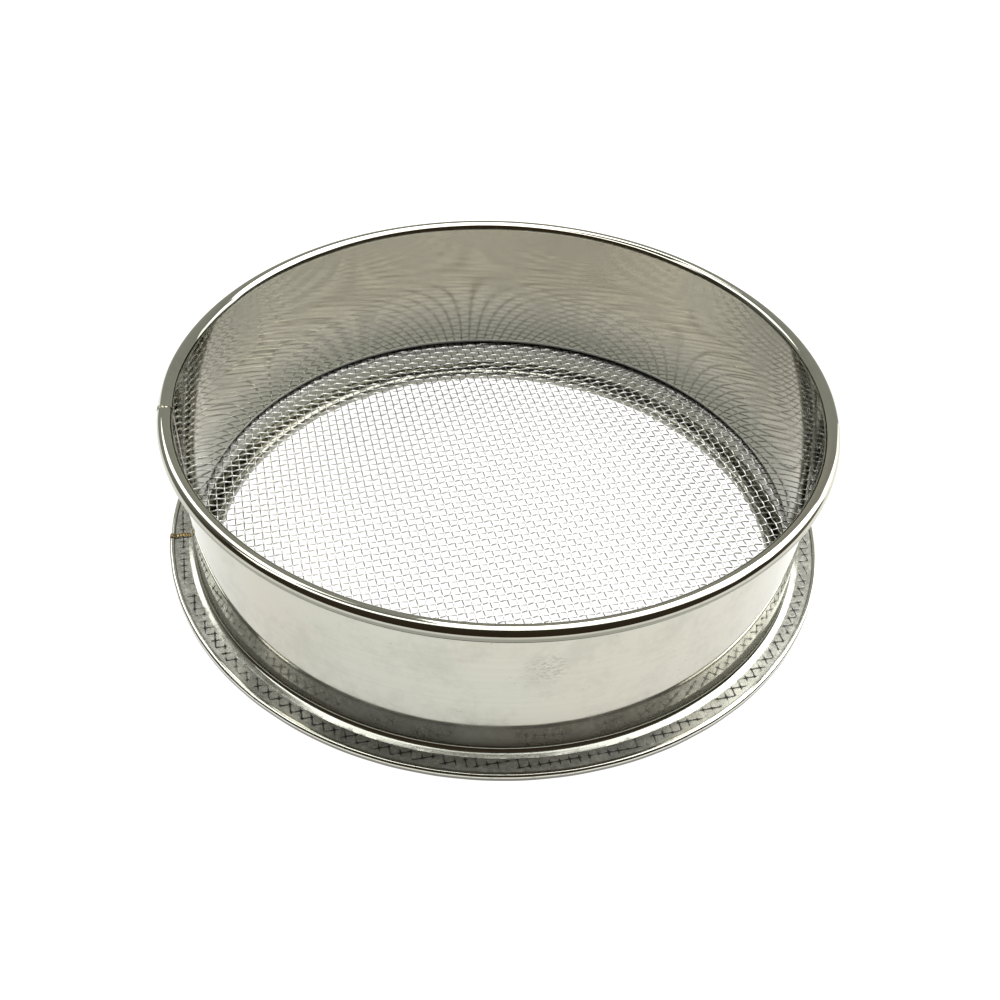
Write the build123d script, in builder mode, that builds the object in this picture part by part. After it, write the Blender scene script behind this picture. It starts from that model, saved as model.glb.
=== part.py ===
"""Round soil sieve: rolled stainless drum, clamped woven wire cloth and a rolled foot ring.

Millimetres, +Z up. The origin is the centre of the circle the foot stands on.
"""
from build123d import *
from math import cos, radians, sin, sqrt
import os

os.makedirs("parts", exist_ok=True)

# ---- overall sizes ---------------------------------------------------------
RIM_OD = 300.0          # across the rolled rim
HEIGHT = 100.0          # foot to top of rim
SHEET = 0.6             # stainless sheet
CURL_R = 3.4            # outside radius of the rolled rim and of the rolled foot
CURL_SWEEP = -318.0     # how far the sheet edge is rolled round, degrees
FOOT_FLAT = 0.05        # worn off the underside of the rolled foot
SEAM_AZIMUTH = -168.0   # where the sheet ends meet, measured from +X
SEAM_ARC = 0.8          # width of the seam, degrees
WELD_PROUD = 0.12       # how far the weld stands out of the sheet

# ---- wire cloth ------------------------------------------------------------
CLOTH_Z = 21.5          # mid-plane of the cloth
WIRE_D = 0.65
WIRE_PITCH = 4.05
WIRE_COUNT = 75         # wires in each direction
WIRES_PER_BAND = 15
CLOTH_TURN = 14.5       # weft direction, measured from +X
CLOTH_R = 155.0         # the cloth runs out between the flanges to here

# ---- flange stack ----------------------------------------------------------
BEND_R = 3.0            # inside radius of the bend between wall and flange
FLANGE_R = 155.7        # cut edge of both flanges
HEM_R = 156.5           # outside of the folded hem
HEM_LIP_R = 154.2       # where the folded lip ends on the flange
HEM_CORNER = 1.3        # outer rounding of the hem

# ---- derived ---------------------------------------------------------------
WALL_RI = RIM_OD / 2 - 2 * CURL_R
WALL_RO = WALL_RI + SHEET
RIM_C = (WALL_RI + CURL_R, HEIGHT - CURL_R)
FOOT_C = (WALL_RO - CURL_R, CURL_R - FOOT_FLAT)
UPPER_Z = CLOTH_Z + WIRE_D              # underside of the upper flange
LOWER_Z = CLOTH_Z - WIRE_D              # top of the lower flange
UPPER_TOP = UPPER_Z + SHEET
LOWER_BOTTOM = LOWER_Z - SHEET
WALL_BOTTOM = UPPER_TOP + BEND_R
SKIRT_TOP = LOWER_BOTTOM - BEND_R
FULL = 360.0


def section_plane(azimuth):
    """Vertical half-plane through the Z axis: local x is radius, local y is height."""
    a = radians(azimuth)
    return Plane(origin=(0, 0, 0), x_dir=(cos(a), sin(a), 0), z_dir=(sin(a), -cos(a), 0))


SHEET_START = section_plane(SEAM_AZIMUTH + SEAM_ARC / 2)
WELD_START = section_plane(SEAM_AZIMUTH - SEAM_ARC / 2)
CLOSED_RING = section_plane(0)
SHEET_TURN = FULL - SEAM_ARC


def arc_point(centre, radius, angle):
    a = radians(angle)
    return (centre[0] + radius * cos(a), centre[1] + radius * sin(a))


def curl_face(centre, start, sweep, r_out, r_in):
    """Rolled sheet edge in section: an open tube from angle start, turning by sweep."""
    end = start + sweep
    mid = start + sweep / 2
    with BuildLine() as outline:
        ThreePointArc(arc_point(centre, r_out, start), arc_point(centre, r_out, mid),
                      arc_point(centre, r_out, end))
        Line(arc_point(centre, r_out, end), arc_point(centre, r_in, end))
        ThreePointArc(arc_point(centre, r_in, end), arc_point(centre, r_in, mid),
                      arc_point(centre, r_in, start))
        Line(arc_point(centre, r_in, start), arc_point(centre, r_out, start))
    make_face(outline.edges())


def band_face(r_in, r_out, z_low, z_high):
    """Upright strip of sheet in section."""
    with Locations(((r_in + r_out) / 2, (z_low + z_high) / 2)):
        Rectangle(r_out - r_in, z_high - z_low)


def flange_face(side, edge_r, top, step_r):
    """Flat flange with the bend up (side 1) or down (side -1) into the wall.

    The flange lies against the cloth; top is the extra height on its free face out to step_r.
    """
    cloth_face = CLOTH_Z + side * WIRE_D
    free = cloth_face + side * SHEET
    bend = (WALL_RO + BEND_R, free + side * BEND_R)
    inner = BEND_R - top
    outer = BEND_R + SHEET
    start = 180
    end = 180 + side * 90
    mid = 180 + side * 45
    with BuildLine() as outline:
        ThreePointArc(arc_point(bend, outer, start), arc_point(bend, outer, mid),
                      arc_point(bend, outer, end))
        Line((bend[0], cloth_face), (edge_r, cloth_face))
        Line((edge_r, cloth_face), (edge_r, free))
        if top > 0:
            Line((edge_r, free), (step_r, free))
            Line((step_r, free), (step_r, free + side * top))
            Line((step_r, free + side * top), (bend[0], free + side * top))
        else:
            Line((edge_r, free), (bend[0], free))
        ThreePointArc(arc_point(bend, inner, end), arc_point(bend, inner, mid),
                      arc_point(bend, inner, start))
        Line(arc_point(bend, inner, start), arc_point(bend, outer, start))
    make_face(outline.edges())


def hem_face(extra):
    """Folded edge gripping both flanges, in section; extra thickens it outwards."""
    low = LOWER_BOTTOM - SHEET - extra
    high = UPPER_TOP + SHEET + extra
    out = HEM_R + extra
    with BuildLine() as outline:
        Polyline((HEM_LIP_R, UPPER_TOP), (HEM_LIP_R, high), (out - HEM_CORNER, high))
        RadiusArc((out - HEM_CORNER, high), (out, high - HEM_CORNER), HEM_CORNER)
        Line((out, high - HEM_CORNER), (out, low + HEM_CORNER))
        RadiusArc((out, low + HEM_CORNER), (out - HEM_CORNER, low), HEM_CORNER)
        Polyline((out - HEM_CORNER, low), (HEM_LIP_R, low), (HEM_LIP_R, LOWER_BOTTOM),
                 (HEM_R - SHEET, LOWER_BOTTOM), (HEM_R - SHEET, UPPER_TOP),
                 (HEM_LIP_R, UPPER_TOP))
    make_face(outline.edges())


# ---- upper shell: rolled rim, drum wall, upper flange ----------------------
with BuildPart() as rim_curl:
    with BuildSketch(SHEET_START):
        curl_face(RIM_C, 180, CURL_SWEEP, CURL_R, CURL_R - SHEET)
    revolve(axis=Axis.Z, revolution_arc=SHEET_TURN)
rim_curl.part.label = "rim_curl"

with BuildPart() as drum_wall:
    with BuildSketch(SHEET_START):
        band_face(WALL_RI, WALL_RO, WALL_BOTTOM, RIM_C[1])
    revolve(axis=Axis.Z, revolution_arc=SHEET_TURN)
drum_wall.part.label = "drum_wall"

with BuildPart() as upper_flange:
    with BuildSketch(SHEET_START):
        flange_face(1, FLANGE_R, 0, FLANGE_R)
    revolve(axis=Axis.Z, revolution_arc=SHEET_TURN)
upper_flange.part.label = "upper_flange"

# ---- seam welds ------------------------------------------------------------
with BuildPart() as rim_seam_weld:
    with BuildSketch(WELD_START):
        curl_face(RIM_C, 180, CURL_SWEEP, CURL_R + WELD_PROUD, CURL_R - SHEET - WELD_PROUD)
    revolve(axis=Axis.Z, revolution_arc=SEAM_ARC)
rim_seam_weld.part.label = "rim_seam_weld"

with BuildPart() as wall_seam_weld:
    with BuildSketch(WELD_START):
        band_face(WALL_RI - WELD_PROUD, WALL_RO + WELD_PROUD, WALL_BOTTOM, RIM_C[1])
    revolve(axis=Axis.Z, revolution_arc=SEAM_ARC)
wall_seam_weld.part.label = "wall_seam_weld"

with BuildPart() as flange_seam_weld:
    with BuildSketch(WELD_START):
        flange_face(1, FLANGE_R, WELD_PROUD, HEM_LIP_R)
    revolve(axis=Axis.Z, revolution_arc=SEAM_ARC)
flange_seam_weld.part.label = "flange_seam_weld"

with BuildPart() as hem_seam_weld:
    with BuildSketch(WELD_START):
        hem_face(WELD_PROUD)
    revolve(axis=Axis.Z, revolution_arc=SEAM_ARC)
hem_seam_weld.part.label = "hem_seam_weld"

# ---- lower shell: lower flange, skirt, rolled foot -------------------------
with BuildPart() as lower_flange:
    with BuildSketch(CLOSED_RING):
        flange_face(-1, FLANGE_R, 0, FLANGE_R)
    revolve(axis=Axis.Z, revolution_arc=FULL)
lower_flange.part.label = "lower_flange"

with BuildPart() as lower_skirt:
    with BuildSketch(CLOSED_RING):
        band_face(WALL_RI, WALL_RO, FOOT_C[1], SKIRT_TOP)
    revolve(axis=Axis.Z, revolution_arc=FULL)
lower_skirt.part.label = "lower_skirt"

with BuildPart() as foot_curl:
    with BuildSketch(CLOSED_RING):
        curl_face(FOOT_C, 0, CURL_SWEEP, CURL_R, CURL_R - SHEET)
        with Locations((FOOT_C[0], -CURL_R)):
            Rectangle(2 * CURL_R, 2 * CURL_R, mode=Mode.SUBTRACT)
    revolve(axis=Axis.Z, revolution_arc=FULL)
foot_curl.part.label = "foot_curl"

with BuildPart() as edge_hem:
    with BuildSketch(SHEET_START):
        hem_face(0)
    revolve(axis=Axis.Z, revolution_arc=SHEET_TURN)
edge_hem.part.label = "edge_hem"

for ring in (rim_curl, drum_wall, upper_flange, rim_seam_weld, wall_seam_weld, flange_seam_weld,
             hem_seam_weld, lower_flange, lower_skirt, foot_curl, edge_hem):
    export_step(ring.part, "parts/" + ring.part.label + ".step")


# ---- wire cloth: bands of neighbouring wires -------------------------------
def wire_band(label, direction, height, first):
    """Neighbouring wires of one family, each cut to the length of its chord."""
    a = radians(direction)
    with BuildPart() as band:
        for n in range(first, first + WIRES_PER_BAND):
            offset = (n - (WIRE_COUNT - 1) / 2) * WIRE_PITCH
            half = sqrt(CLOTH_R ** 2 - offset ** 2)
            start = (-offset * sin(a) - half * cos(a), offset * cos(a) - half * sin(a), height)
            with BuildSketch(Plane(origin=start, z_dir=(cos(a), sin(a), 0))):
                Circle(WIRE_D / 2)
            extrude(amount=2 * half)
    band.part.label = label
    export_step(band.part, "parts/" + label + ".step")


for band_number in range(WIRE_COUNT // WIRES_PER_BAND):
    first_wire = band_number * WIRES_PER_BAND
    wire_band(f"cloth_warp_{band_number + 1}", CLOTH_TURN + 90, CLOTH_Z + WIRE_D / 2, first_wire)
    wire_band(f"cloth_weft_{band_number + 1}", CLOTH_TURN, CLOTH_Z - WIRE_D / 2, first_wire)
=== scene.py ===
"""Looks of the round soil sieve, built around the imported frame. Metres, +Z up."""
import math

import bpy
import numpy as np
from mathutils import Matrix, Vector
from mathutils.geometry import tessellate_polygon


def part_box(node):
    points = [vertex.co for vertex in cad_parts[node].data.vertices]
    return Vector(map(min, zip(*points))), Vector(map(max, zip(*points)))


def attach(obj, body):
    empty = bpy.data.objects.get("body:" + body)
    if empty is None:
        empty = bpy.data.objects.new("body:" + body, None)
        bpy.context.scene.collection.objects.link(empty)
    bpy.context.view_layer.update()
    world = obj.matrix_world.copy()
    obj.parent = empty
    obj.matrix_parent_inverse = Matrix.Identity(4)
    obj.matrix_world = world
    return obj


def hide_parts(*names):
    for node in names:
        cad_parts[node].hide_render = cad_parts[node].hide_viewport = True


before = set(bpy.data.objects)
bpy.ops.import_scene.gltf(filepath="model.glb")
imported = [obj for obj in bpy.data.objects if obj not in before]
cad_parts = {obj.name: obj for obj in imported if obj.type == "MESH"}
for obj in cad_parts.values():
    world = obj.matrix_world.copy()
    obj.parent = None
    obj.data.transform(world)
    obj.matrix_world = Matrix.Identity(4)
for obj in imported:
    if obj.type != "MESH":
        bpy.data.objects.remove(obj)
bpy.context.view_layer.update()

# ---------------------------------------------------------------- sizes
MM = 0.001
TAU = 2 * math.pi

RIM_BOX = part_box("rim_curl")
WALL_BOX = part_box("drum_wall")
UPPER_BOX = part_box("upper_flange")
LOWER_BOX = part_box("lower_flange")
SKIRT_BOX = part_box("lower_skirt")
HEM_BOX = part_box("edge_hem")

SHEET = 0.6 * MM                            # thickness of every sheet
CURL_R = 3.4 * MM                           # outer radius of the rolled rim and foot
CURL_TURN = -326.5                          # degrees that the sheet rolls through
RIM_C = (RIM_BOX[1].x - CURL_R, RIM_BOX[1].z - CURL_R)
WALL_RO = WALL_BOX[1].x
WALL_RI = WALL_RO - SHEET
WALL_LOW, WALL_HIGH = WALL_BOX[0].z, WALL_BOX[1].z
FLANGE_R = 155.7 * MM                       # cut edge of both flanges
UPPER_FACE = UPPER_BOX[0].z                 # underside of the upper flange, on the cloth
LOWER_FACE = LOWER_BOX[1].z                 # top side of the lower flange, under the cloth
BEND_R = WALL_LOW - UPPER_FACE - SHEET      # hollow side's radius in the bend from wall to flange
BEND_C = WALL_RO + BEND_R                   # radius at which that bend is centred
SOFT_BEND_R = 2.5 * MM                      # the bend as pressed, running out in a short slope
SLOPE = 18                                  # degrees
SKIRT_LOW, SKIRT_HIGH = SKIRT_BOX[0].z, SKIRT_BOX[1].z
FOOT_C = (WALL_RO - CURL_R, SKIRT_LOW)
HEM_R = 156.5 * MM                          # outside of the folded hem
HEM_LIP_R = 154.2 * MM                      # where its lips end on the flanges
HEM_CORNER = 1.3 * MM                       # its outer rounding
HEM_LOW, HEM_HIGH = HEM_BOX[0].z, HEM_BOX[1].z

CLOTH_Z = (UPPER_FACE + LOWER_FACE) / 2
WIRE_R = (UPPER_FACE - LOWER_FACE) / 4
PITCH = 4.05 * MM                           # from wire to wire
CLOTH_R = 155.0 * MM                        # the cloth's edge, between the flanges
CLOTH_TURN = math.radians(14.5)             # weft direction from +X; the warp is a quarter turn on
WIRE_COUNT = 75                             # each way
WIRES_PER_BAND = 15
STRAIGHT_FROM = 36                          # counted from the middle, wires from here out don't lean

STROKE_W = 0.34 * MM                        # half-width of a wire's mark pressed through the flange
KNUCKLE_W = 1.1 * MM                        # and of the darker spot at a crossing
PRINT_DEPTH = 0.04 * MM
PRINT_ROWS = (146.9 * MM, 153.3 * MM)       # radii between which the flange's mesh is fine
PRINT_RISE = (147.3 * MM, 148.1 * MM)       # where the marks come in
PRINT_FADE = (151.7 * MM, 152.5 * MM)       # and where they end

SEAM = math.radians(-168.0)                 # azimuth where the sheet's ends meet
SLIT = math.radians(0.26)                   # what the weld leaves open between the ends
BEAD_SHIFT = math.radians(-0.62)            # the bead lies behind the slit
RING_START = SEAM + SLIT / 2
RING_SWEEP = TAU - SLIT
RIM_HEAT_R = 147.0 * MM                     # radii at which heat spreads from the seam
FLANGE_HEAT_R = 150.0 * MM

WALL_STEPS = 900                            # steps round each ring
HEM_STEPS = 1600
PRINTED_STEPS = 4000
PLAIN_STEPS = 720


# ---------------------------------------------------------------- meshes
def inside_out(points, quads):
    """Whether the faces' normals point into the solid, by the sign of its volume."""
    a, b, c, d = (points[quads[:, k]] for k in range(4))
    return np.einsum("ij,ij->", a, np.cross(b, c) + np.cross(c, d)) < 0


def new_piece(name, points, faces, nodes, values=None, sharp=35):
    """Object from points and faces (quads, triangles), with named values at its points."""
    quads, triangles = faces
    corners = np.concatenate([quads.ravel(), triangles.ravel()]).astype(np.int32)
    quad_starts = np.arange(0, quads.size, 4)
    triangle_starts = np.arange(quads.size, len(corners), 3)
    starts = np.concatenate([quad_starts, triangle_starts]).astype(np.int32)
    mesh = bpy.data.meshes.new(name)
    mesh.vertices.add(len(points))
    mesh.vertices.foreach_set("co", np.asarray(points, np.float32).ravel())
    mesh.loops.add(len(corners))
    mesh.loops.foreach_set("vertex_index", corners)
    mesh.polygons.add(len(starts))
    mesh.polygons.foreach_set("loop_start", starts)
    mesh.update(calc_edges=True)
    if inside_out(points, quads):
        mesh.flip_normals()
    mesh.polygons.foreach_set("use_smooth", np.ones(len(starts), bool))
    if sharp:
        mesh.set_sharp_from_angle(angle=math.radians(sharp))
    for key, value in (values or {}).items():
        layer = mesh.attributes.new(key, "FLOAT", "POINT")
        layer.data.foreach_set("value", np.asarray(value, np.float32).ravel())
    piece = bpy.data.objects.new(name, mesh)
    bpy.context.scene.collection.objects.link(piece)
    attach(piece, "root")
    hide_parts(*nodes)
    return piece


def grid_quads(rows, columns, wrap_rows, wrap_columns):
    """Quads between neighbours in a grid of rows by columns of points."""
    row = np.arange(rows - (not wrap_rows))
    column = np.arange(columns - (not wrap_columns))
    i, j = np.meshgrid(row, column, indexing="ij")
    i2, j2 = (i + 1) % rows, (j + 1) % columns
    corners = [i * columns + j, i2 * columns + j, i2 * columns + j2, i * columns + j2]
    return np.stack(corners, -1).reshape(-1, 4)


def arc(centre, radius, start, end, steps):
    """Points on an arc; angles in degrees."""
    t = np.radians(np.linspace(start, end, steps + 1))
    return np.stack([centre[0] + radius * np.cos(t), centre[1] + radius * np.sin(t)], -1)


def line(start, end, steps=1):
    """Points on a straight line, with both ends."""
    t = np.linspace(0, 1, steps + 1)[:, None]
    return np.asarray(start) * (1 - t) + np.asarray(end) * t


def outline(*runs):
    """Closed profile of (radius, height) points, with no point twice in a row."""
    points = np.concatenate(runs)
    return points[np.linalg.norm(points - np.roll(points, 1, 0), axis=1) > 1e-7]


def capped(quads, rows, outline_points):
    """Faces of an open sweep: the quads along it, and triangles that close its two ends."""
    ends = tessellate_polygon([[Vector((x, y, 0)) for x, y in outline_points]])
    first = np.array([tuple(corner) for corner in ends])
    return quads, np.concatenate([first, (rows - 1) * len(outline_points) + first[:, ::-1]])


def turned(profile, start, sweep, steps, shift=None):
    """Points and faces of a profile turned about Z, with each point's azimuth, radius and height.

    shift gives changes of radius and height for arrays of those.
    """
    closed = abs(sweep - TAU) < 1e-9
    azimuth = start + sweep * np.arange(steps if closed else steps + 1) / steps
    a, r = np.meshgrid(azimuth, profile[:, 0], indexing="ij")
    z = np.broadcast_to(profile[:, 1], a.shape).copy()
    if shift is not None:
        dr, dz = shift(a, r, z)
        r, z = r + dr, z + dz
    points = np.stack([r * np.cos(a), r * np.sin(a), z], -1).reshape(-1, 3)
    quads = grid_quads(len(azimuth), len(profile), closed, True)
    faces = (quads, np.empty((0, 3), int)) if closed else capped(quads, len(azimuth), profile)
    return points, faces, a, r, z


def waves(a, seed, low, high, count=6):
    """Slow irregular waves of about unit size round a ring, between two wave numbers."""
    draw = np.random.default_rng(seed)
    out = np.zeros_like(a)
    for k in draw.integers(low, high + 1, count):
        out += draw.normal() * np.sin(k * a + draw.uniform(0, TAU))
    return out / math.sqrt(count)


def soft_noise(x, y, cell, seed):
    """Smooth noise from 0 to 1 over the plane, with cells of the given size."""
    draw = np.random.default_rng(seed)
    size = 256
    table = draw.random((size, size))
    u, v = x / cell + size / 2, y / cell + size / 2
    i, j = np.floor(u).astype(int), np.floor(v).astype(int)
    f, g = u - i, v - j
    f, g = f * f * (3 - 2 * f), g * g * (3 - 2 * g)
    i, j, i2, j2 = i % size, j % size, (i + 1) % size, (j + 1) % size
    return ((table[i, j] * (1 - f) + table[i2, j] * f) * (1 - g)
            + (table[i, j2] * (1 - f) + table[i2, j2] * f) * g)


def smooth(x, low, high):
    """0 up to low, 1 from high, and an even rise between."""
    t = np.clip((x - low) / (high - low), 0, 1)
    return t * t * (3 - 2 * t)


def from_seam(a):
    """Azimuth from the seam, from 0 round to a full turn towards the front."""
    return np.mod(a - SEAM, TAU)


def heat(a, radius, reach):
    """Heat tint beside the seam, 1 at the bead."""
    away = from_seam(a - BEAD_SHIFT)
    away = np.minimum(away, TAU - away) * radius
    return np.exp(-(away / reach) ** 2)


# ---------------------------------------------------------------- sheet rings
def curl_profile(centre, start, steps=48):
    """Rolled edge: outer side of the sheet, then its inner side back."""
    return outline(arc(centre, CURL_R, start, start + CURL_TURN, steps),
                   arc(centre, CURL_R - SHEET, start + CURL_TURN, start, steps))


def rim_shift(a, r, z):
    """The rim isn't quite round, and its two ends meet with a small step."""
    behind = TAU - from_seam(a)
    step = -0.55 * MM * np.exp(-(behind / math.radians(8.0)) ** 2)
    ahead = -0.15 * MM * np.exp(-(from_seam(a) / math.radians(2.0)) ** 2)
    near_wall = smooth(z, WALL_HIGH - 0.1 * MM, WALL_HIGH + 1.5 * MM)
    dr = (0.05 * MM * waves(a, 11, 4, 14) + step + ahead) * near_wall
    return dr, (0.03 * MM * waves(a, 12, 3, 12) - 0.05 * MM) * near_wall


def make_rim():
    """Rolled rim, with painted shade on its outer lower side."""
    profile = curl_profile(RIM_C, 180)
    points, faces, a, r, z = turned(profile, RING_START, RING_SWEEP, WALL_STEPS, rim_shift)
    # painted shade on the outer lower side, where the curl meets the wall
    painted_shade_tone = 0.9 * smooth(RIM_C[1] + 1.0 * MM - z, 0, 0.7 * MM) * (r > WALL_RO)
    return new_piece("rim_curl_sheet", points, faces, ["rim_curl"],
                     {"heat": heat(a + math.radians(1.2), RIM_HEAT_R, 3.6 * MM), "painted_shade_tone": painted_shade_tone})


def wall_shift(a, r, z):
    """Faint ripples left by rolling the sheet, flat at both ends."""
    up = (z - WALL_LOW) / (WALL_HIGH - WALL_LOW)
    ends = np.sin(math.pi * np.clip(up, 0, 1))
    ripple = waves(a, 21, 8, 40, 10) + 0.6 * waves(a + 0.9 * up, 22, 12, 30, 8)
    return 0.0015 * MM * ends * ripple, np.zeros_like(z)


def wall_painted_tones(a, r, z):
    """Painted shade, haze and a painted warm reflection tint inside: darker by the cloth, warm to the
    rim, clearer at both sides.
    """
    up = (z - WALL_LOW) / (WALL_HIGH - WALL_LOW)
    inside = r < WALL_RI + SHEET / 2
    side = smooth(np.abs(np.cos(a)), 0.5, 0.98)
    # painted shade inside, darker towards the cloth, and higher up at the sides
    dull = 0.85 - 0.50 * smooth(up, 0.0, 0.5)
    grey = side * smooth(up, 0.3, 0.8)
    return {"painted_shade_tone": inside * (dull + 0.35 * grey), "haze": inside * dull * (1 - 0.55 * side),
            "warm": inside * (0.75 - 0.35 * grey) * smooth(up, 0.1, 0.6)}


def make_wall():
    """Drum wall, with a dull film low on its outside."""
    profile = outline(line((WALL_RO, WALL_HIGH), (WALL_RO, WALL_LOW), 40),
                      line((WALL_RI, WALL_LOW), (WALL_RI, WALL_HIGH), 40))
    points, faces, a, r, z = turned(profile, RING_START, RING_SWEEP, WALL_STEPS, wall_shift)
    film = (r > WALL_RI + SHEET / 2) * (1 - smooth(z, WALL_LOW + 4 * MM, WALL_LOW + 26 * MM))
    return new_piece("drum_wall_sheet", points, faces, ["drum_wall"],
                     {"heat": heat(a, WALL_RO, 1.6 * MM), "film": film, **wall_painted_tones(a, r, z)})


def flange_profile(side, free_side):
    """Flange and its bend, free_side running back from the edge. side is 1 above the cloth or -1."""
    face = CLOTH_Z + side * 2 * WIRE_R
    centre = (BEND_C, face + side * (SHEET + BEND_R))
    return outline(arc(centre, BEND_R + SHEET, 180, 180 + side * 90, 12),
                   line((BEND_C, face), (FLANGE_R, face), 4), *free_side)


def lattice(x, y):
    """How near each point is to a wire's line, for both families, and to a crossing."""
    near = []
    for turn in (CLOTH_TURN, CLOTH_TURN + math.pi / 2):
        across = -x * math.sin(turn) + y * math.cos(turn)
        away = (across / PITCH - np.round(across / PITCH)) * PITCH
        near.append(np.exp(-(away / STROKE_W) ** 2))
        near.append(np.exp(-(away / KNUCKLE_W) ** 2))
    warp, warp_wide, weft, weft_wide = near
    return warp, weft, warp_wide * weft_wide


def upper_flange_painted_shade(r, z, top):
    """Painted shade in the crevice inside the bend, under the flange and along the hem's lip."""
    beyond_bend = np.hypot(r - BEND_C, z - WALL_LOW) > BEND_R + SHEET / 2
    inside = (z < UPPER_FACE + SHEET - 1e-6) | beyond_bend
    low = 1 - smooth(z, UPPER_FACE + 1.4 * MM, UPPER_FACE + 2.5 * MM)
    high = 1 - smooth(z, WALL_LOW - 0.7 * MM, WALL_LOW)
    crevice = np.maximum(inside * (r < BEND_C + 1e-6) * low, 0.6 * inside * (r < BEND_C) * high)
    under = (z < UPPER_FACE + 1e-6) * 1.0
    at_lip = 0.8 * top * smooth(r, HEM_LIP_R - 0.45 * MM, HEM_LIP_R - 0.05 * MM)
    return np.maximum(np.maximum(crevice, under), at_lip)


def make_upper_flange():
    """Upper flange, with the cloth's wires pressed through into its top."""
    (start, end), free = PRINT_ROWS, UPPER_FACE + SHEET
    curve = arc((WALL_RO + SOFT_BEND_R, WALL_LOW), SOFT_BEND_R, 270 - SLOPE, 180, 10)
    foot = (curve[0, 0] + (curve[0, 1] - free) / math.tan(math.radians(SLOPE)), free)
    profile = flange_profile(1, (line((FLANGE_R, free), (end, free), 3),
                                 line((end, free), (start, free), 28), line((start, free), foot),
                                 line(foot, curve[0], 3), curve))
    points, faces, a, r, z = turned(profile, RING_START, RING_SWEEP, PRINTED_STEPS)
    x, y = points[:, 0].reshape(a.shape), points[:, 1].reshape(a.shape)
    warp, weft, knuckle = lattice(x, y)
    ring = smooth(r, *PRINT_RISE) * (1 - smooth(r, *PRINT_FADE))
    inner = 0.35 + 0.65 * smooth(r, 147.9 * MM, 149.6 * MM)
    patch = smooth(soft_noise(x, y, 9 * MM, 31), 0.05, 0.25)
    warp_patch = smooth(soft_noise(x, y, 5 * MM, 32), 0.12, 0.40)
    weft_patch = smooth(soft_noise(x, y, 5 * MM, 33), 0.12, 0.40)
    strokes = np.maximum(warp * warp_patch, weft * weft_patch)
    top = z > UPPER_FACE + SHEET - 1e-6
    mark = top * ring * inner * patch * strokes * (0.75 + 0.6 * knuckle)
    mark += top * ring * (0.35 + 0.65 * patch) * 0.9 * np.maximum(warp, weft) * knuckle ** 2
    mark = np.clip(1.25 * mark, 0, 1)
    dent = PRINT_DEPTH * (mark + top * ring * (soft_noise(x, y, 2.2 * MM, 34) - 0.5))
    outward = (r - BEND_C) / (FLANGE_R - BEND_C)
    ripple = top * (r > BEND_C) * (0.03 * MM * waves(a, 35, 10, 60, 12) * outward)
    points[:, 2] -= (dent - ripple).ravel() * (r.ravel() < FLANGE_R - 1e-6)
    # painted shade: near black in the bend's crevice, on the underside and along the hem's lip
    painted_shade = upper_flange_painted_shade(r, z, top)
    noise = soft_noise(x, y, 2.6 * MM, 36) + 0.5 * soft_noise(x, y, 0.9 * MM, 37)
    ragged = r + 1.3 * MM * (noise - 0.75)
    satin = np.where(top, 0.4 + 0.6 * smooth(ragged, BEND_C + 0.2 * MM, BEND_C + 0.9 * MM), 0.5)
    satin *= smooth(r, BEND_C - 2.2 * MM, BEND_C - 1.2 * MM)
    return new_piece("upper_flange_sheet", points, faces, ["upper_flange"],
                     {"mark": mark, "painted_shade": painted_shade, "satin": satin,
                      "heat": heat(a, FLANGE_HEAT_R, 1.9 * MM)})


def make_lower_flange():
    """Lower flange, the upper one's plain mirror image, with painted shade where it meets the cloth.
    """
    free = LOWER_FACE - SHEET
    profile = flange_profile(-1, (line((FLANGE_R, free), (BEND_C, free), 10),
                                  arc((BEND_C, SKIRT_HIGH), BEND_R, 90, 180, 12)))
    points, faces, a, r, z = turned(profile, 0, TAU, PLAIN_STEPS)
    # painted shade on its top face, under the cloth
    return new_piece("lower_flange_sheet", points, faces, ["lower_flange"],
                     {"mark": np.zeros_like(a), "painted_shade": 0.75 * (z > LOWER_FACE - 1e-6),
                      "heat": np.zeros_like(a), "satin": np.ones_like(a)})


def make_skirt():
    """Short wall below the flanges."""
    profile = outline(line((WALL_RO, SKIRT_HIGH), (WALL_RO, SKIRT_LOW), 8),
                      line((WALL_RI, SKIRT_LOW), (WALL_RI, SKIRT_HIGH), 8))
    points, faces, a, r, z = turned(profile, 0, TAU, PLAIN_STEPS)
    # painted shade: darker steel inside the skirt, a little outside
    return new_piece("lower_skirt_sheet", points, faces, ["lower_skirt"],
                     {"painted_shade_tone": np.where(r < WALL_RO - SHEET / 2, 0.95, 0.2),
                      "heat": np.zeros_like(a)})


def make_foot():
    """Rolled lower edge, pressed flat where it stands on the floor."""
    profile = curl_profile(FOOT_C, 0)
    profile[:, 1] = np.maximum(profile[:, 1], 0.0)
    points, faces, a, r, z = turned(profile, 0, TAU, PLAIN_STEPS)
    # painted shade over the whole foot
    return new_piece("foot_curl_sheet", points, faces, ["foot_curl"],
                     {"painted_shade_tone": np.full_like(a, 0.7), "heat": np.zeros_like(a)})


def hem_shift(a, r, z):
    """The folded strip is a little uneven, and steps out just in front of the seam."""
    upper = np.sign(z - CLOTH_Z)
    ahead = -0.25 * MM * smooth(from_seam(a), math.radians(1.0), math.radians(7.0))
    behind = TAU - from_seam(a)
    tuck = -0.35 * MM * np.exp(-(behind / math.radians(5)) ** 2)
    dr = np.minimum(0, ahead + tuck + 0.04 * MM * waves(a, 41, 9, 60, 10))
    return dr * (r > HEM_LIP_R), upper * 0.02 * MM * waves(a, 42, 10, 50, 10)


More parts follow.
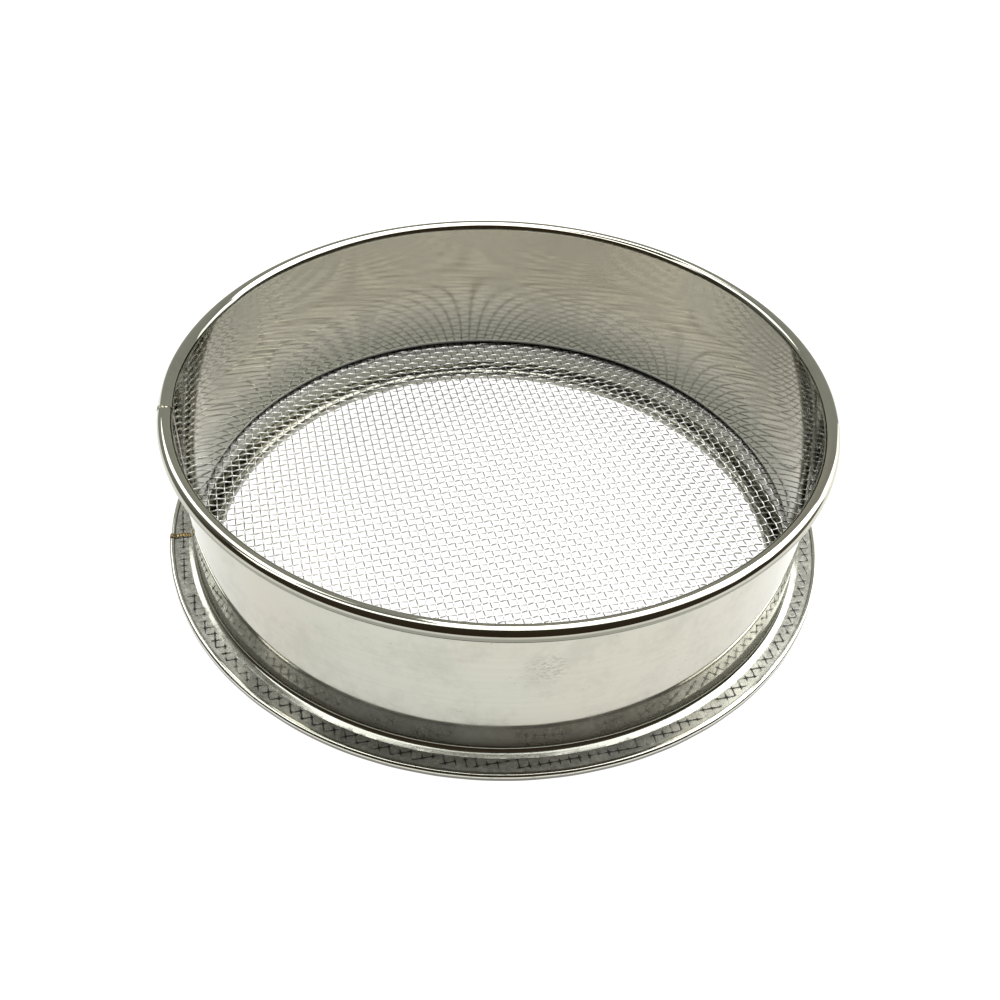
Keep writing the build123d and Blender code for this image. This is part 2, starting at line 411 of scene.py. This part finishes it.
def make_hem():
    """Hem folded over both flanges, with painted shade on its lower side."""
    corner = (HEM_R - HEM_CORNER, HEM_HIGH - HEM_CORNER)
    low_corner = (HEM_R - HEM_CORNER, HEM_LOW + HEM_CORNER)
    inner_r = HEM_R - SHEET
    profile = outline(
        line((HEM_LIP_R, HEM_HIGH), (corner[0], HEM_HIGH), 3),
        arc(corner, HEM_CORNER, 90, 0, 10),
        line((HEM_R, corner[1]), (HEM_R, low_corner[1]), 3),
        arc(low_corner, HEM_CORNER, 0, -90, 10),
        line((corner[0], HEM_LOW), (HEM_LIP_R, HEM_LOW), 3),
        line((HEM_LIP_R, HEM_LOW + SHEET), (inner_r, HEM_LOW + SHEET), 2),
        line((inner_r, HEM_LOW + SHEET), (inner_r, HEM_HIGH - SHEET), 2),
        line((inner_r, HEM_HIGH - SHEET), (HEM_LIP_R, HEM_HIGH - SHEET), 2))
    points, faces, a, r, z = turned(profile, RING_START, RING_SWEEP, HEM_STEPS, hem_shift)
    # painted shade on the lower half of the hem's outside
    painted_shade = (r > HEM_LIP_R) * (1 - smooth(z, CLOTH_Z + 0.4 * MM, CLOTH_Z + 0.9 * MM))
    return new_piece("edge_hem_sheet", points, faces, ["edge_hem"],
                     {"heat": heat(a, HEM_R, 1.9 * MM), "painted_shade": painted_shade})


# ---------------------------------------------------------------- welds
def bead(name, path, ups, node, width, height, seed):
    """Lumpy weld bead along a path, half sunk in the sheet. ups point away from the sheet."""
    draw = np.random.default_rng(seed)
    path, ups = np.asarray(path), np.asarray(ups)
    run = np.gradient(path, axis=0)
    run /= np.linalg.norm(run, axis=1)[:, None]
    side = np.cross(run, ups)
    length = np.concatenate([[0], np.cumsum(np.linalg.norm(np.diff(path, axis=0), axis=1))])
    lump = np.abs(np.sin(math.pi * length / (1.25 * MM) + 0.8 * np.sin(length / (2.1 * MM))))
    size = 0.72 + 0.30 * lump + 0.10 * draw.normal(size=len(path))
    drift = 0.18 * width * np.sin(length / (1.7 * MM) + seed)
    from_end = np.minimum(np.arange(len(path)), np.arange(len(path))[::-1])
    ends = np.sqrt(np.clip(from_end / 3, 0.02, 1))
    t = TAU * np.arange(14) / 14
    rough = 1 + 0.10 * draw.normal(size=(len(path), len(t)))
    across = (np.cos(t) * rough * width / 2) * (size * ends)[:, None] + drift[:, None]
    lift = (np.sin(t) * rough * height) * (size * ends)[:, None]
    points = path[:, None] + across[..., None] * side[:, None] + lift[..., None] * ups[:, None]
    quads = grid_quads(len(path), len(t), False, True)
    faces = capped(quads, len(path), arc((0, 0), 1, 0, 360, len(t))[:-1])
    return new_piece(name, points.reshape(-1, 3), faces, [node],
                     {"lump": np.repeat(lump, len(t))}, sharp=0)


def ray(azimuth):
    """Level unit vector at an azimuth."""
    return np.array([math.cos(azimuth), math.sin(azimuth), 0])


def on_ray(azimuth, profile):
    """Points of a (radius, height) profile stood up at an azimuth."""
    return profile[:, :1] * ray(azimuth) + profile[:, 1:] * np.array([0, 0, 1.0])


def make_flange_weld():
    """Bead straight across the flat of the upper flange."""
    top = UPPER_FACE + SHEET
    path = line((BEND_C - 1.2 * MM, top), (HEM_LIP_R + 0.4 * MM, top), 44)
    ups = np.tile([0, 0, 1.0], (len(path), 1))
    return bead("flange_seam_bead", on_ray(SEAM + BEAD_SHIFT, path), ups,
                "flange_seam_weld", width=2.8 * MM, height=0.36 * MM, seed=5)


def make_hem_weld():
    """Bead over the hem's lip and down its outside."""
    corner = (HEM_R - HEM_CORNER - 0.3 * MM, HEM_HIGH - HEM_CORNER)
    outside = corner[0] + HEM_CORNER
    path = np.concatenate([line((HEM_LIP_R, HEM_HIGH), (corner[0], HEM_HIGH), 4)[:-1],
                           arc(corner, HEM_CORNER, 90, 0, 10)[:-1],
                           line((outside, corner[1]), (outside, HEM_LOW + 1.0 * MM), 6)])
    ups = np.gradient(path, axis=0)
    ups = np.stack([-ups[:, 1], ups[:, 0]], -1)
    ups /= np.linalg.norm(ups, axis=1)[:, None]
    at = SEAM + BEAD_SHIFT
    return bead("hem_seam_bead", on_ray(at, path), on_ray(at, ups),
                "hem_seam_weld", width=2.6 * MM, height=0.30 * MM, seed=6)


def make_rim_weld():
    """Bead over the top and outside of the rolled rim."""
    centre = (RIM_C[0] - 0.20 * MM, RIM_C[1] - 0.34 * MM)
    path = arc(centre, CURL_R - 0.10 * MM, 200, -15, 60)
    ups = arc((0, 0), 1, 200, -15, 60)
    return bead("rim_seam_bead", on_ray(SEAM + 0.9 * BEAD_SHIFT, path), on_ray(SEAM, ups),
                "rim_seam_weld", width=3.0 * MM, height=0.38 * MM, seed=7)


def make_wall_weld():
    """Narrow bead down the inside of the wall."""
    r = WALL_RI + 0.2 * MM
    path = line((r, WALL_LOW), (r, WALL_HIGH), 160)
    ups = np.tile(-ray(SEAM), (len(path), 1))
    return bead("wall_seam_bead", on_ray(SEAM, path), ups,
                "wall_seam_weld", width=1.1 * MM, height=0.42 * MM, seed=8)


# ---------------------------------------------------------------- woven cloth
def sag(x, y):
    """Slight slackness of the cloth inside the drum."""
    inside = np.clip(1 - (x * x + y * y) / (WALL_RI - 2 * MM) ** 2, 0, 1)
    return inside * (soft_noise(x, y, 60 * MM, 51) - 0.65) * 1.1 * MM


def woven_band(family, band, per_pitch=6, sides=8):
    """Fifteen neighbouring wires, each crimped over and under those it crosses."""
    turn = CLOTH_TURN + (math.pi / 2 if family == "warp" else 0)
    along = np.array([math.cos(turn), math.sin(turn), 0])
    across = np.array([-math.sin(turn), math.cos(turn), 0])
    up = np.array([0, 0, 1.0])
    t = TAU * np.arange(sides) / sides
    section = np.stack([np.cos(t), np.sin(t)], -1)
    draw = np.random.default_rng(100 + band + (50 if family == "warp" else 0))
    points, quads, triangles, painted_crown_highlight, made = [], [], [], [], 0
    for n in range(band * WIRES_PER_BAND, (band + 1) * WIRES_PER_BAND):
        index = n - (WIRE_COUNT - 1) // 2
        offset = index * PITCH
        half = math.sqrt(CLOTH_R ** 2 - offset ** 2)
        s = np.linspace(-half, half, int(2 * half / PITCH * per_pitch) + 1)
        lean = 0.07 * MM * draw.normal()
        lean = lean + 0.06 * MM * draw.normal() * np.sin(s / (38 * MM) + draw.uniform(0, TAU))
        lean *= smooth(half - np.abs(s), 0, 20 * MM) * (abs(index) < STRAIGHT_FROM)
        over = (1 if family == "warp" else -1) * (1 if index % 2 == 0 else -1)
        wave = over * WIRE_R * np.cos(math.pi * s / PITCH)
        slope = -over * WIRE_R * math.pi / PITCH * np.sin(math.pi * s / PITCH)
        centre = (offset + lean)[:, None] * across + s[:, None] * along
        centre[:, 2] = CLOTH_Z + wave + sag(centre[:, 0], centre[:, 1])
        normal = (up - slope[:, None] * along) / np.sqrt(1 + slope ** 2)[:, None]
        ring = np.cos(t)[None, :, None] * across + np.sin(t)[None, :, None] * normal[:, None, :]
        points.append((centre[:, None, :] + WIRE_R * ring).reshape(-1, 3))
        along_quads, end_triangles = capped(grid_quads(len(s), sides, False, True), len(s), section)
        quads.append(along_quads + made)
        triangles.append(end_triangles + made)
        # painted highlight: the knuckle tops are made brighter
        painted_crown_highlight.append(np.repeat(smooth(wave / WIRE_R, 0.1, 0.9), sides))
        made += len(s) * sides
    points = np.concatenate(points)
    # painted shade where the wires run in under the flange
    edge = smooth(np.hypot(points[:, 0], points[:, 1]), WALL_RI - 0.5 * MM, WALL_RI + 2.0 * MM)
    faces = (np.concatenate(quads), np.concatenate(triangles))
    return new_piece(f"woven_{family}_{band + 1}", points, faces,
                     [f"cloth_{family}_{band + 1}"],
                     {"painted_shade": edge, "painted_crown_highlight": np.concatenate(painted_crown_highlight)}, sharp=0)


# ---------------------------------------------------------------- materials
class Shader:
    """Short calls for building one node material."""

    def __init__(self, name):
        self.material = bpy.data.materials.new(name)
        self.material.use_nodes = True
        self.nodes = self.material.node_tree.nodes
        self.links = self.material.node_tree.links
        self.out = self.nodes["Principled BSDF"]
        self.place = self.nodes.new("ShaderNodeTexCoord").outputs["Object"]

    def put(self, value, socket):
        """Link a socket, or set a number or a colour of three parts."""
        if isinstance(value, bpy.types.NodeSocket):
            self.links.new(value, socket)
        elif isinstance(value, tuple):
            socket.default_value = (*value, 1)
        else:
            socket.default_value = value

    def scaled(self, x, y, z):
        """Place on the object, stretched along each axis."""
        node = self.nodes.new("ShaderNodeMapping")
        self.links.new(self.place, node.inputs["Vector"])
        node.inputs["Scale"].default_value = (x, y, z)
        return node.outputs["Vector"]

    def noise(self, scale, detail=3.0, rough=0.55, stretch=(1, 1, 1)):
        """Noise from 0 to 1; scale is in cells per metre."""
        node = self.nodes.new("ShaderNodeTexNoise")
        self.links.new(self.scaled(*stretch), node.inputs["Vector"])
        node.inputs["Scale"].default_value = scale
        node.inputs["Detail"].default_value = detail
        node.inputs["Roughness"].default_value = rough
        return node.outputs["Fac"]

    def spots(self, scale):
        """Distance to the nearest of scattered points, in cells."""
        node = self.nodes.new("ShaderNodeTexVoronoi")
        self.links.new(self.place, node.inputs["Vector"])
        node.inputs["Scale"].default_value = scale
        return node.outputs["Distance"]

    def near(self, centre, reach):
        """1 at a point, falling to 0 at a distance."""
        node = self.nodes.new("ShaderNodeVectorMath")
        node.operation = "DISTANCE"
        self.links.new(self.place, node.inputs[0])
        node.inputs[1].default_value = centre
        return self.remap(node.outputs["Value"], 0.3 * reach, reach, 1, 0)

    def remap(self, value, low, high, new_low=0.0, new_high=1.0):
        """Even rise or fall from new_low to new_high as value goes from low to high."""
        node = self.nodes.new("ShaderNodeMapRange")
        node.interpolation_type = "SMOOTHSTEP"
        node.inputs["From Min"].default_value = low
        node.inputs["From Max"].default_value = high
        node.inputs["To Min"].default_value = new_low
        node.inputs["To Max"].default_value = new_high
        self.put(value, node.inputs["Value"])
        return node.outputs["Result"]

    def math(self, operation, a, b=0.0):
        node = self.nodes.new("ShaderNodeMath")
        node.operation = operation
        self.put(a, node.inputs[0])
        self.put(b, node.inputs[1])
        return node.outputs["Value"]

    def add(self, a, b):
        return self.math("ADD", a, b)

    def times(self, a, b):
        return self.math("MULTIPLY", a, b)

    def rest(self, a):
        """What a leaves of 1."""
        return self.math("SUBTRACT", 1.0, a)

    def mix(self, amount, a, b):
        """Colour a, and b where amount is 1."""
        node = self.nodes.new("ShaderNodeMix")
        node.data_type = "RGBA"
        self.put(amount, node.inputs["Factor"])
        self.put(a, node.inputs["A"])
        self.put(b, node.inputs["B"])
        return node.outputs["Result"]

    def value(self, name):
        """Named value at the mesh's points; 0 where a mesh has none."""
        node = self.nodes.new("ShaderNodeAttribute")
        node.attribute_name = name
        return node.outputs["Fac"]

    def bump(self, height, distance, strength=1.0):
        """Normal of a surface raised by up to distance, in metres."""
        node = self.nodes.new("ShaderNodeBump")
        node.inputs["Distance"].default_value = distance
        node.inputs["Strength"].default_value = strength
        self.links.new(height, node.inputs["Height"])
        return node.outputs["Normal"]

    def finish(self, colour, rough, normal, metallic=1.0):
        """Fill the shader's sockets and give its material."""
        self.put(colour, self.out.inputs["Base Color"])
        self.put(rough, self.out.inputs["Roughness"])
        self.put(normal, self.out.inputs["Normal"])
        self.put(metallic, self.out.inputs["Metallic"])
        return self.material


STEEL = (0.495, 0.50, 0.43)
STEEL_WARM = (0.50, 0.485, 0.41)
# darker steel of the painted shade
STEEL_PAINTED_SHADE = (0.20, 0.20, 0.16)
# warm tint of the painted reflection inside the wall
STEEL_WARM_REFLECTION = (0.36, 0.325, 0.24)
SMUDGED = (0.26, 0.26, 0.22)
GRAINED = (0.26, 0.25, 0.21)
PRINTED = (0.22, 0.22, 0.18)
SPECKED = (0.10, 0.09, 0.07)
TINT_STRAW = (0.30, 0.25, 0.17)
TINT_BROWN = (0.14, 0.075, 0.03)
FLANGE_DARK = (0.36, 0.365, 0.32)
FLANGE_PALE = (0.52, 0.52, 0.465)
FLANGE_CLOUD = (0.26, 0.26, 0.23)
IMPRINT = (0.022, 0.021, 0.017)
# near-black colour of the painted shade in crevices and under the cloth
PAINTED_SHADE_BLACK = (0.010, 0.009, 0.007)
HEM_BRIGHT = (0.62, 0.62, 0.55)
HEM_NICKED = (0.34, 0.33, 0.29)
# colour of the painted shade on the hem's lower side
HEM_PAINTED_SHADE = (0.09, 0.085, 0.07)
WIRE = (0.44, 0.44, 0.43)
WIRE_DUSTY = (0.30, 0.29, 0.27)
# colour of the painted highlight on the knuckle tops
WIRE_CROWN_HIGHLIGHT = (0.90, 0.90, 0.87)
TINTED_WELD = ((0.42, 0.34, 0.17), (0.24, 0.15, 0.055), (0.045, 0.028, 0.014))
RIM_WELD = ((0.55, 0.56, 0.47), (0.40, 0.38, 0.28), (0.12, 0.11, 0.07))
WALL_WELD = ((0.60, 0.59, 0.52), (0.50, 0.46, 0.37), (0.24, 0.20, 0.15))
FINGERPRINTS = (((0.0215, -0.1418, 0.073), 0.011),      # where each is, and how far it reaches
                ((-0.118, 0.0806, 0.058), 0.010),
                ((0.1395, 0.033, 0.064), 0.012))


def sheet_material():
    """Polished sheet: grain, smudges, prints, specks, heat tint, and where set, painted shade, a
    painted warm reflection tint, haze and film.
    """
    m = Shader("polished_sheet")
    grain = m.noise(1.0, 3, 0.6, (10, 10, 2200))
    smudge = m.noise(45, 6, 0.66)
    fine = m.noise(260, 4, 0.7)
    front, left, right = (m.near(centre, reach) for centre, reach in FINGERPRINTS)
    prints = m.math("MAXIMUM", front, m.math("MAXIMUM", left, right))
    ridges = m.times(prints, m.remap(m.noise(1.0, 2, 0.5, (520, 520, 1500)), 0.50, 0.60))
    speck = m.remap(m.spots(380), 0.06, 0.13, 1, 0)
    speck = m.times(speck, m.remap(m.noise(48, 2), 0.56, 0.62))
    heated, film = m.value("heat"), m.value("film")

    tint = m.mix(m.remap(m.noise(7, 2), 0.4, 0.6), STEEL, STEEL_WARM)
    # painted shade: darker steel on the rim's underside and inside the wall, skirt and foot
    tint = m.mix(m.value("painted_shade_tone"), tint, STEEL_PAINTED_SHADE)
    # painted reflection: a warm tint inside the wall
    tint = m.mix(m.value("warm"), tint, STEEL_WARM_REFLECTION)
    tint = m.mix(m.remap(m.add(smudge, m.times(fine, 0.35)), 0.60, 0.88, 0, 0.22), tint, SMUDGED)
    tint = m.mix(m.remap(grain, 0.45, 0.75, 0, 0.10), tint, GRAINED)
    tint = m.mix(m.times(ridges, 0.5), tint, PRINTED)
    tint = m.mix(m.times(speck, 0.5), tint, SPECKED)
    tint = m.mix(m.times(heated, 0.5), tint, TINT_STRAW)

    rough = m.add(m.remap(smudge, 0.42, 0.72, 0.035, 0.085), m.times(heated, 0.15))
    rough = m.add(rough, m.times(m.value("haze"), 0.09))
    rough = m.add(rough, m.times(speck, 0.2))
    rough = m.add(rough, m.times(film, 0.05))
    metal = m.rest(m.times(film, m.remap(smudge, 0.35, 0.70, 0.25, 0.50)))
    return m.finish(tint, rough, m.bump(grain, 0.0000015, 0.5), metal)


def flange_material():
    """Duller flange: pressed-through wire marks, mottling and painted shade in the crevice."""
    m = Shader("flange_sheet")
    mottle = m.noise(420, 4, 0.65)
    cloud = m.noise(70, 3)
    satin, mark, painted_shade = m.value("satin"), m.value("mark"), m.value("painted_shade")

    colour = m.mix(m.remap(mottle, 0.35, 0.68), FLANGE_DARK, FLANGE_PALE)
    colour = m.mix(m.remap(cloud, 0.42, 0.62, 0, 0.45), colour, FLANGE_CLOUD)
    colour = m.mix(m.rest(satin), colour, STEEL)
    colour = m.mix(m.times(m.value("heat"), 0.85), colour, TINT_BROWN)
    colour = m.mix(m.times(mark, 0.97), colour, IMPRINT)
    # painted shade, made near black
    colour = m.mix(painted_shade, colour, PAINTED_SHADE_BLACK)

    bare = 0.06
    dull = m.remap(m.add(mottle, cloud), 0.75, 1.25, 0.19, 0.29)
    rough = m.add(bare, m.times(m.math("SUBTRACT", dull, bare), satin))
    rough = m.add(rough, m.times(m.math("MAXIMUM", mark, painted_shade), 0.4))
    # the painted shade is also made non-metallic, as is part of the satin
    dusty_and_shaded = m.math("MAXIMUM", painted_shade, m.times(satin, 0.6))
    metal = m.rest(m.times(dusty_and_shaded, 0.95))
    return m.finish(colour, rough, m.bump(m.times(mottle, satin), 0.00003, 0.6), metal)


def hem_material():
    """Folded strip: bright, with small nicks along it and painted shade on its lower half."""
    m = Shader("hem_sheet")
    nick = m.noise(330, 4, 0.6)
    colour = m.mix(m.remap(nick, 0.55, 0.72, 0, 0.5), HEM_BRIGHT, HEM_NICKED)
    colour = m.mix(m.times(m.value("heat"), 0.8), colour, TINT_BROWN)
    # painted shade on the lower half
    colour = m.mix(m.times(m.value("painted_shade"), 0.85), colour, HEM_PAINTED_SHADE)
    return m.finish(colour, m.remap(nick, 0.45, 0.75, 0.09, 0.22), m.bump(nick, 0.000015, 0.5))


def wire_material():
    """Drawn wire: painted highlight on its crowns, and painted shade where it runs in under the
    flange.
    """
    m = Shader("cloth_wire")
    fine = m.noise(900, 3, 0.6)
    dust = m.noise(130, 4, 0.6)
    colour = m.mix(m.remap(dust, 0.50, 0.68, 0, 0.35), WIRE, WIRE_DUSTY)
    # painted highlight on the knuckle tops
    colour = m.mix(m.value("painted_crown_highlight"), colour, WIRE_CROWN_HIGHLIGHT)
    # painted shade where the wires run in under the flange
    colour = m.mix(m.times(m.value("painted_shade"), 0.9), colour, PAINTED_SHADE_BLACK)
    return m.finish(colour, m.remap(fine, 0.35, 0.7, 0.12, 0.20), m.bump(fine, 0.00001, 0.4))


def weld_material(name, cool, warm, dark):
    """Weld bead: lumps brighter than the oxidised hollows between them."""
    m = Shader(name)
    fine = m.noise(1500, 4, 0.65)
    patch = m.noise(520, 3, 0.6)
    colour = m.mix(m.remap(patch, 0.40, 0.60), warm, cool)
    hollow = m.add(m.rest(m.value("lump")), m.times(fine, 0.6))
    colour = m.mix(m.remap(hollow, 0.55, 1.15), colour, dark)
    return m.finish(colour, m.remap(fine, 0.35, 0.7, 0.22, 0.50), m.bump(fine, 0.0001, 0.7))


# ---------------------------------------------------------------- build the pieces
rim, wall, skirt, foot = make_rim(), make_wall(), make_skirt(), make_foot()
upper, lower, hem = make_upper_flange(), make_lower_flange(), make_hem()
tinted_beads = (make_flange_weld(), make_hem_weld())
rim_bead, wall_bead = make_rim_weld(), make_wall_weld()
cloth = [woven_band(family, band)
         for family in ("warp", "weft") for band in range(WIRE_COUNT // WIRES_PER_BAND)]

tinted_look = weld_material("tinted_weld", *TINTED_WELD)
rim_look = weld_material("rim_weld", *RIM_WELD)
seam_look = weld_material("wall_weld", *WALL_WELD)
looks = (((rim, wall, skirt, foot), sheet_material()), ((upper, lower), flange_material()),
         ((hem,), hem_material()), (cloth, wire_material()), (tinted_beads, tinted_look),
         ((rim_bead,), rim_look), ((wall_bead,), seam_look))
for pieces, look in looks:
    for piece in pieces:
        piece.data.materials.append(look)


# ---------------------------------------------------------------- floor, light, camera
FLOOR_REACH = 6.0
FLOOR_GREY = (0.25, 0.25, 0.25)
# the lower glow under the sieve is a painted shadow
FLOOR_GLOW = (0.88, 1.02)                   # its own light under the sieve and beyond
GLOW_RADII = (0.118, 0.142)                 # between which that light rises
BACKDROP = (0.80, 0.80, 0.78)
ROOM_TONES = ((0.0, (0.045, 0.030, 0.018)), (0.48, (0.055, 0.048, 0.036)),
              (0.78, (0.38, 0.38, 0.35)), (1.0, (0.44, 0.44, 0.40)))
SOFTBOXES = (                               # name, centre, size, turn in degrees, radiance
    ("overhead", (0.50, 0.22, 0.70), (1.15, 0.50), 0, 5.5),
    ("overhead_front", (0.05, -0.125, 0.70), (1.7, 0.18), 0, 3.0),
    ("overhead_left", (-0.62, 0.42, 0.70), (0.90, 0.36), -38, 3.2),
    ("overhead_right", (1.35, 0.66, 0.70), (1.2, 0.60), 36, 3.0),
    ("window", (1.60, 0.93, 0.46), (0.75, 0.75), None, 1.7))
CAMERA_AT = (0, -0.4017, 0.3892)
CAMERA_TURN = (42.01, 0.29, 2.70)           # degrees down, to the right and of roll
LENS = 39.6                                 # mm, for a sensor 36 mm wide


def make_floor():
    """Plain white floor. Most of its light is its own, a little less under the sieve as a painted
    shadow.
    """
    mesh = bpy.data.meshes.new("floor")
    reach = FLOOR_REACH
    corners = [(-reach, -reach, 0), (reach, -reach, 0), (reach, reach, 0), (-reach, reach, 0)]
    mesh.from_pydata(corners, [], [(0, 1, 2, 3)])
    floor = bpy.data.objects.new("floor", mesh)
    bpy.context.scene.collection.objects.link(floor)
    m = Shader("pale_floor")
    away = m.nodes.new("ShaderNodeVectorMath")
    away.operation = "LENGTH"
    m.links.new(m.place, away.inputs[0])
    m.put(FLOOR_GREY, m.out.inputs["Base Color"])
    m.out.inputs["Roughness"].default_value = 0.9
    m.out.inputs["Specular IOR Level"].default_value = 0.0
    m.out.inputs["Emission Color"].default_value = (1, 1, 1, 1)
    own = m.remap(away.outputs["Value"], *GLOW_RADII, *FLOOR_GLOW)
    m.links.new(own, m.out.inputs["Emission Strength"])
    floor.data.materials.append(m.material)


def make_world():
    """The room as the metal meets it, dark brown in front and grey behind, and a pale backdrop."""
    world = bpy.data.worlds.new("studio")
    bpy.context.scene.world = world
    world.use_nodes = True
    nodes, links = world.node_tree.nodes, world.node_tree.links
    split = nodes.new("ShaderNodeSeparateXYZ")
    links.new(nodes.new("ShaderNodeTexCoord").outputs["Generated"], split.inputs[0])
    spread = nodes.new("ShaderNodeMapRange")
    spread.inputs["From Min"].default_value = -1
    links.new(split.outputs["Y"], spread.inputs["Value"])
    tone = nodes.new("ShaderNodeValToRGB")
    while len(tone.color_ramp.elements) < len(ROOM_TONES):
        tone.color_ramp.elements.new(0.5)
    for stop, (at, colour) in zip(tone.color_ramp.elements, ROOM_TONES):
        stop.position = at
        stop.color = (*colour, 1)
    links.new(spread.outputs["Result"], tone.inputs["Fac"])
    blend = nodes.new("ShaderNodeMix")
    blend.data_type = "RGBA"
    blend.inputs["B"].default_value = (*BACKDROP, 1)
    seen = nodes.new("ShaderNodeLightPath").outputs["Is Camera Ray"]
    links.new(seen, blend.inputs["Factor"])
    links.new(tone.outputs["Color"], blend.inputs["A"])
    links.new(blend.outputs["Result"], nodes["Background"].inputs["Color"])


def make_softbox(name, centre, size, turn, radiance):
    """Rectangular soft light: level and turned about Z by some degrees, or facing the sieve."""
    lamp = bpy.data.lights.new(name, "AREA")
    lamp.shape = "RECTANGLE"
    lamp.size, lamp.size_y = size
    lamp.energy = radiance * math.pi * size[0] * size[1]
    held = bpy.data.objects.new(name, lamp)
    held.location = centre
    if turn is None:
        held.rotation_euler = (-Vector(centre)).to_track_quat("-Z", "Y").to_euler()
    else:
        held.rotation_euler.z = math.radians(turn)
    bpy.context.scene.collection.objects.link(held)


def make_camera():
    """Camera at the photograph's angle: pitched down, with a slight roll."""
    pitch, yaw, roll = (math.radians(angle) for angle in CAMERA_TURN)
    forward = Vector((math.sin(yaw), math.cos(yaw), 0))
    ahead = math.cos(pitch) * forward - Vector((0, 0, math.sin(pitch)))
    level = Vector((math.cos(yaw), -math.sin(yaw), 0))
    above = level.cross(ahead)
    right = math.cos(roll) * level + math.sin(roll) * above
    top = math.cos(roll) * above - math.sin(roll) * level
    camera = bpy.data.objects.new("camera", bpy.data.cameras.new("camera"))
    camera.data.sensor_width = 36
    camera.data.lens = LENS
    camera.data.clip_start = 0.01
    turned_to = Matrix((right, top, -ahead)).transposed().to_4x4()
    camera.matrix_world = Matrix.Translation(CAMERA_AT) @ turned_to
    bpy.context.scene.collection.objects.link(camera)
    bpy.context.scene.camera = camera


make_floor()
make_world()
for softbox in SOFTBOXES:
    make_softbox(*softbox)
make_camera()
bpy.context.scene.view_settings.view_transform = "Standard"
